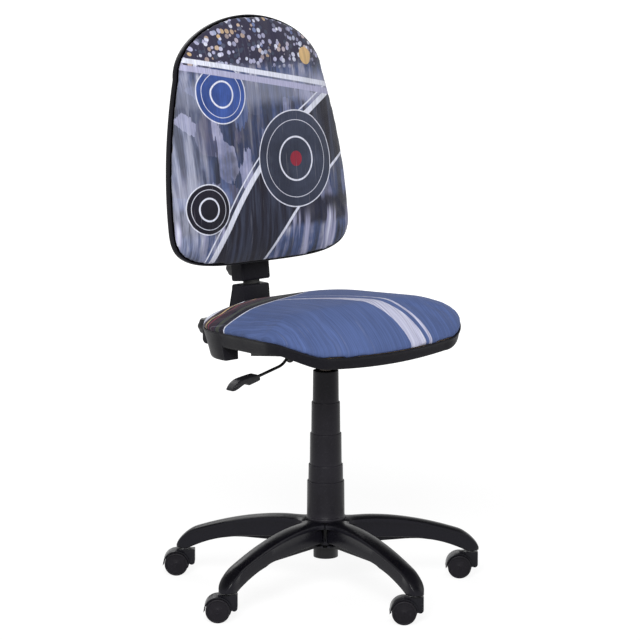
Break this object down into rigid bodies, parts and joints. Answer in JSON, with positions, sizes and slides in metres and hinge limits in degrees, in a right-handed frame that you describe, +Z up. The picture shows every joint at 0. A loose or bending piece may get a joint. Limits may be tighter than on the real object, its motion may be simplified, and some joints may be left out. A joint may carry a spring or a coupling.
{
  "type": "child's swivel desk chair",
  "caption": "Child's swivel desk chair with printed fabric seat and tall rounded backrest on an L-bar, gas lift under a telescopic cover and a star base on castors.",
  "frame": {"origin": "on the floor, under the middle of the column", "axes": "+Z up along the column, -Y to the sitter's front, -X to the sitter's right, where the lever is"},
  "size_m": [0.6479, 0.7106, 1.1482],
  "materials": {
    "base_plastic": "glass-filled nylon, semi-gloss",
    "cover_plastic": "moulded, satin",
    "black_steel": "black powder coat",
    "plain_steel": "plain",
    "chrome": "polished",
    "screw_steel": "black zinc",
    "grip_plastic": "moulded, satin",
    "board": "bare plywood",
    "seat_fabric": "printed woven cover",
    "back_fabric": "printed woven cover",
    "seat_shell_plastic": "fine grained",
    "back_shell_plastic": "fine grained",
    "bracket_plastic": "fine grained",
    "hood_plastic": "semi-gloss",
    "castor_steel": "plain",
    "wheel_plastic": "fine grained nylon"
  },
  "bodies": {
    "base": {"star_base": "base_plastic", "stand_tube": "black_steel", "stand_clip": "plain_steel", "thrust_bearing": "plain_steel", "piston_rod": "plain_steel", "guide_bush": "cover_plastic", "cover_section_5": "cover_plastic"},
    "cover_four": {"cover_section_4": "cover_plastic"},
    "cover_three": {"cover_section_3": "cover_plastic"},
    "cover_two": {"cover_section_2": "cover_plastic"},
    "lift": {"cover_section_1": "cover_plastic"},
    "seat": {"gas_cylinder": "chrome", "seat_plate": "black_steel", "tilt_pin": "plain_steel", "tilt_spring": "plain_steel", "lever_bushing": "grip_plastic", "seat_board": "board", "seat_cushion": "seat_fabric", "seat_shell": "seat_shell_plastic", "plate_bolts": "screw_steel", "tee_nuts": "plain_steel", "shell_screws": "screw_steel"},
    "pin": {"release_pin": "plain_steel"},
    "lever": {"lever_rod": "black_steel", "lever_paddle": "grip_plastic"},
    "back_bar": {"l_bar": "black_steel", "knee_cover": "bracket_plastic"},
    "tension": {"tension_knob": "grip_plastic"},
    "backrest": {"height_sleeve": "bracket_plastic", "back_shell": "back_shell_plastic", "back_board": "board", "back_cushion": "back_fabric", "back_screws": "screw_steel"},
    "height_clamp": {"height_knob": "grip_plastic"},
    "castor_left_rear": {"castor_hood_left_rear": "hood_plastic", "castor_stem_left_rear": "castor_steel", "castor_axle_left_rear": "castor_steel"},
    "near_left_rear": {"near_wheel_left_rear": "wheel_plastic"},
    "far_left_rear": {"far_wheel_left_rear": "wheel_plastic"},
    "castor_right_rear": {"castor_hood_right_rear": "hood_plastic", "castor_stem_right_rear": "castor_steel", "castor_axle_right_rear": "castor_steel"},
    "near_right_rear": {"near_wheel_right_rear": "wheel_plastic"},
    "far_right_rear": {"far_wheel_right_rear": "wheel_plastic"},
    "castor_right_side": {"castor_hood_right_side": "hood_plastic", "castor_stem_right_side": "castor_steel", "castor_axle_right_side": "castor_steel"},
    "near_right_side": {"near_wheel_right_side": "wheel_plastic"},
    "far_right_side": {"far_wheel_right_side": "wheel_plastic"},
    "castor_front": {"castor_hood_front": "hood_plastic", "castor_stem_front": "castor_steel", "castor_axle_front": "castor_steel"},
    "near_front": {"near_wheel_front": "wheel_plastic"},
    "far_front": {"far_wheel_front": "wheel_plastic"},
    "castor_left_side": {"castor_hood_left_side": "hood_plastic", "castor_stem_left_side": "castor_steel", "castor_axle_left_side": "castor_steel"},
    "near_left_side": {"near_wheel_left_side": "wheel_plastic"},
    "far_left_side": {"far_wheel_left_side": "wheel_plastic"}
  },
  "joints": [
    {"name": "seat_height", "type": "slide", "parent": "base", "child": "lift", "axis": [0, 0, 1], "range_m": [-0.13, 0]},
    {"name": "cover_two_slide", "type": "slide", "parent": "base", "child": "cover_two", "axis": [0, 0, 1], "range_m": [-0.0975, 0]},
    {"name": "cover_three_slide", "type": "slide", "parent": "base", "child": "cover_three", "axis": [0, 0, 1], "range_m": [-0.065, 0]},
    {"name": "cover_four_slide", "type": "slide", "parent": "base", "child": "cover_four", "axis": [0, 0, 1], "range_m": [-0.0325, 0]},
    {"name": "seat_swivel", "type": "hinge", "parent": "lift", "child": "seat", "pos_m": [0, 0, 0.4], "axis": [0, 0, 1], "continuous": true},
    {"name": "lever_pull", "type": "hinge", "parent": "seat", "child": "lever", "pos_m": [-0.106, -0.025, 0.49635], "axis": [0, 1, 0], "range_deg": [0, 3], "stiffness_Nm_per_rad": 6, "springref_deg": -6.88},
    {"name": "pin_push", "type": "slide", "parent": "seat", "child": "pin", "axis": [0, 0, 1], "range_m": [-0.0056, 0]},
    {"name": "back_tilt", "type": "hinge", "parent": "seat", "child": "back_bar", "pos_m": [0, 0.06, 0.488], "axis": [-1, 0, 0], "range_deg": [0, 10], "stiffness_Nm_per_rad": 160, "springref_deg": -14.32},
    {"name": "tension_turn", "type": "hinge", "parent": "back_bar", "child": "tension", "pos_m": [0, 0.346, 0.49], "axis": [0, 1, 0], "continuous": true},
    {"name": "back_height", "type": "slide", "parent": "back_bar", "child": "backrest", "axis": [0, 0.1201, 0.9928], "range_m": [0, 0.06]},
    {"name": "height_turn", "type": "hinge", "parent": "backrest", "child": "height_clamp", "pos_m": [0, 0.25262, 0.62791], "axis": [0, 0.9928, -0.1201], "continuous": true},
    {"name": "castor_left_rear_turn", "type": "hinge", "parent": "base", "child": "castor_left_rear", "pos_m": [0.21326, 0.22084, 0.06], "axis": [0, 0, 1], "continuous": true},
    {"name": "near_left_rear_roll", "type": "hinge", "parent": "castor_left_rear", "child": "near_left_rear", "pos_m": [0.1984, 0.23422, 0.024], "axis": [-0.6691, -0.7431, 0], "continuous": true},
    {"name": "far_left_rear_roll", "type": "hinge", "parent": "castor_left_rear", "child": "far_left_rear", "pos_m": [0.1984, 0.23422, 0.024], "axis": [-0.6691, -0.7431, 0], "continuous": true},
    {"name": "castor_right_rear_turn", "type": "hinge", "parent": "base", "child": "castor_right_rear", "pos_m": [-0.14413, 0.27107, 0.06], "axis": [0, 0, 1], "continuous": true},
    {"name": "near_right_rear_roll", "type": "hinge", "parent": "castor_right_rear", "child": "near_right_rear", "pos_m": [-0.15899, 0.28445, 0.024], "axis": [-0.6691, -0.7431, 0], "continuous": true},
    {"name": "far_right_rear_roll", "type": "hinge", "parent": "castor_right_rear", "child": "far_right_rear", "pos_m": [-0.15899, 0.28445, 0.024], "axis": [-0.6691, -0.7431, 0], "continuous": true},
    {"name": "castor_right_side_turn", "type": "hinge", "parent": "base", "child": "castor_right_side", "pos_m": [-0.30234, -0.05331, 0.06], "axis": [0, 0, 1], "continuous": true},
    {"name": "near_right_side_roll", "type": "hinge", "parent": "castor_right_side", "child": "near_right_side", "pos_m": [-0.3172, -0.03993, 0.024], "axis": [-0.6691, -0.7431, 0], "continuous": true},
    {"name": "far_right_side_roll", "type": "hinge", "parent": "castor_right_side", "child": "far_right_side", "pos_m": [-0.3172, -0.03993, 0.024], "axis": [-0.6691, -0.7431, 0], "continuous": true},
    {"name": "castor_front_turn", "type": "hinge", "parent": "base", "child": "castor_front", "pos_m": [-0.04273, -0.30401, 0.06], "axis": [0, 0, 1], "continuous": true},
    {"name": "near_front_roll", "type": "hinge", "parent": "castor_front", "child": "near_front", "pos_m": [-0.05759, -0.29063, 0.024], "axis": [-0.6691, -0.7431, 0], "continuous": true},
    {"name": "far_front_roll", "type": "hinge", "parent": "castor_front", "child": "far_front", "pos_m": [-0.05759, -0.29063, 0.024], "axis": [-0.6691, -0.7431, 0], "continuous": true},
    {"name": "castor_left_side_turn", "type": "hinge", "parent": "base", "child": "castor_left_side", "pos_m": [0.27593, -0.13458, 0.06], "axis": [0, 0, 1], "continuous": true},
    {"name": "near_left_side_roll", "type": "hinge", "parent": "castor_left_side", "child": "near_left_side", "pos_m": [0.26107, -0.1212, 0.024], "axis": [-0.6691, -0.7431, 0], "continuous": true},
    {"name": "far_left_side_roll", "type": "hinge", "parent": "castor_left_side", "child": "far_left_side", "pos_m": [0.26107, -0.1212, 0.024], "axis": [-0.6691, -0.7431, 0], "continuous": true}
  ],
  "couplings": [
    {"joint": "cover_two_slide", "follows": "seat_height", "ratio": 0.75},
    {"joint": "cover_three_slide", "follows": "seat_height", "ratio": 0.5},
    {"joint": "cover_four_slide", "follows": "seat_height", "ratio": 0.25},
    {"joint": "pin_push", "follows": "lever_pull", "m_per_rad": -0.106}
  ]
}
